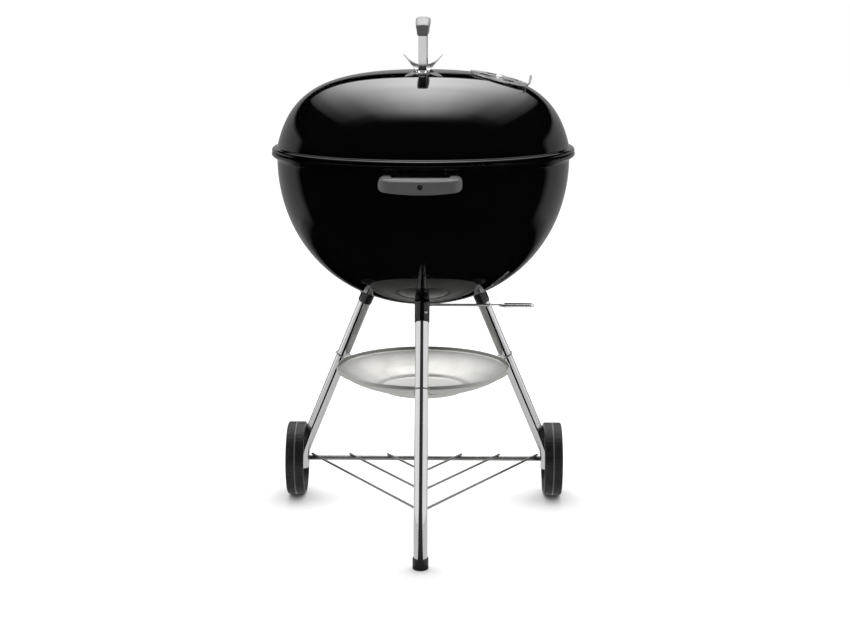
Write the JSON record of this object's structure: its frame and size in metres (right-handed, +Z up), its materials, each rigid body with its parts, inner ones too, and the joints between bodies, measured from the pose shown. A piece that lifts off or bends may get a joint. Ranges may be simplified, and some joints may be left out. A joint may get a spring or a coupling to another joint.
{
  "type": "kettle charcoal grill",
  "caption": "Round kettle charcoal grill with a domed lid, bowl handles, tubular legs, wheels, wire rack, ash pan and a vent lever.",
  "frame": {"origin": "on the ground under the kettle's vertical axis, midway between the outer faces of the two bowl handles", "axes": "+Z up, -Y towards the front leg and the cook, +X to the cook's right, where the vent lever points"},
  "size_m": [0.587, 0.686, 0.9925],
  "materials": {
    "enamel": "black porcelain enamel, high gloss",
    "chrome": "bright plated steel",
    "aluminium": "satin rolled aluminium",
    "zinc": "zinc-plated steel, dull",
    "wire": "plated steel wire, satin",
    "nylon": "dark grey glass-filled nylon, fine matt grain",
    "black_plastic": "black moulded plastic, satin"
  },
  "bodies": {
    "base": {"bowl": "enamel", "grate_tab_1": "zinc", "grate_tab_2": "zinc", "grate_tab_3": "zinc", "front_handle": "nylon", "front_handle_bracket": "zinc", "front_handle_screw": "zinc", "rear_handle": "nylon", "rear_handle_bracket": "zinc", "rear_handle_screw": "zinc", "front_leg": "chrome", "front_leg_socket": "enamel", "right_leg": "chrome", "right_leg_socket": "enamel", "left_leg": "chrome", "left_leg_socket": "enamel", "front_pan_clip": "wire", "right_pan_clip": "wire", "left_pan_clip": "wire", "front_foot": "black_plastic", "axle": "zinc", "left_hub_cap": "black_plastic", "right_hub_cap": "black_plastic", "bottom_rack": "wire", "ash_pan": "aluminium"},
    "lid_body": {"lid": "enamel", "lid_hook": "zinc", "damper_rivet": "aluminium", "heat_shield": "chrome", "lid_handle_grip": "nylon", "front_handle_strap": "chrome", "rear_handle_strap": "chrome", "front_strap_bolt": "chrome", "rear_strap_bolt": "chrome", "front_strap_nut": "zinc", "rear_strap_nut": "zinc"},
    "damper": {"lid_damper": "aluminium"},
    "sweep": {"sweep_spindle": "zinc", "sweep_blades": "aluminium", "sweep_nut": "zinc", "vent_lever": "chrome", "lever_clip": "zinc"},
    "left_wheel_body": {"left_wheel": "black_plastic"},
    "right_wheel_body": {"right_wheel": "black_plastic"},
    "cooking_grate_body": {"cooking_grate": "wire", "left_grate_handle": "wire", "right_grate_handle": "wire"},
    "charcoal_grate_body": {"charcoal_grate": "wire"},
    "front_button_body": {"front_leg_button": "chrome"},
    "right_button_body": {"right_leg_button": "chrome"},
    "left_button_body": {"left_leg_button": "chrome"}
  },
  "joints": [
    {"name": "lid_lift", "type": "slide", "parent": "base", "child": "lid_body", "axis": [0, 0, 1], "range_m": [0, 0.3]},
    {"name": "lid_damper_turn", "type": "hinge", "parent": "lid_body", "child": "damper", "pos_m": [0.14306, -0.03833, 0.87491], "axis": [0.2214, -0.0593, 0.9734], "continuous": true},
    {"name": "vent_lever_turn", "type": "hinge", "parent": "base", "child": "sweep", "pos_m": [0, 0, 0.434], "axis": [0, 0, 1], "range_deg": [-75, 15]},
    {"name": "left_wheel_spin", "type": "hinge", "parent": "base", "child": "left_wheel_body", "pos_m": [-0.2673, 0.14795, 0.0762], "axis": [1, 0, 0], "continuous": true},
    {"name": "right_wheel_spin", "type": "hinge", "parent": "base", "child": "right_wheel_body", "pos_m": [0.2673, 0.14795, 0.0762], "axis": [1, 0, 0], "continuous": true},
    {"name": "cooking_grate_lift", "type": "slide", "parent": "base", "child": "cooking_grate_body", "axis": [0, 0, 1], "range_m": [0, 0.045]},
    {"name": "charcoal_grate_lift", "type": "slide", "parent": "base", "child": "charcoal_grate_body", "axis": [0, 0, 1], "range_m": [0, 0.1]},
    {"name": "front_button_press", "type": "slide", "parent": "base", "child": "front_button_body", "axis": [-0.4695, 0.7992, -0.3752], "range_m": [0, 0.0042], "stiffness_N_per_m": 800, "springref_m": -0.004},
    {"name": "right_button_press", "type": "slide", "parent": "base", "child": "right_button_body", "axis": [-0.4574, -0.8062, -0.3752], "range_m": [0, 0.0042], "stiffness_N_per_m": 800, "springref_m": -0.004},
    {"name": "left_button_press", "type": "slide", "parent": "base", "child": "left_button_body", "axis": [0.9269, 0.007, -0.3752], "range_m": [0, 0.0042], "stiffness_N_per_m": 800, "springref_m": -0.004}
  ]
}
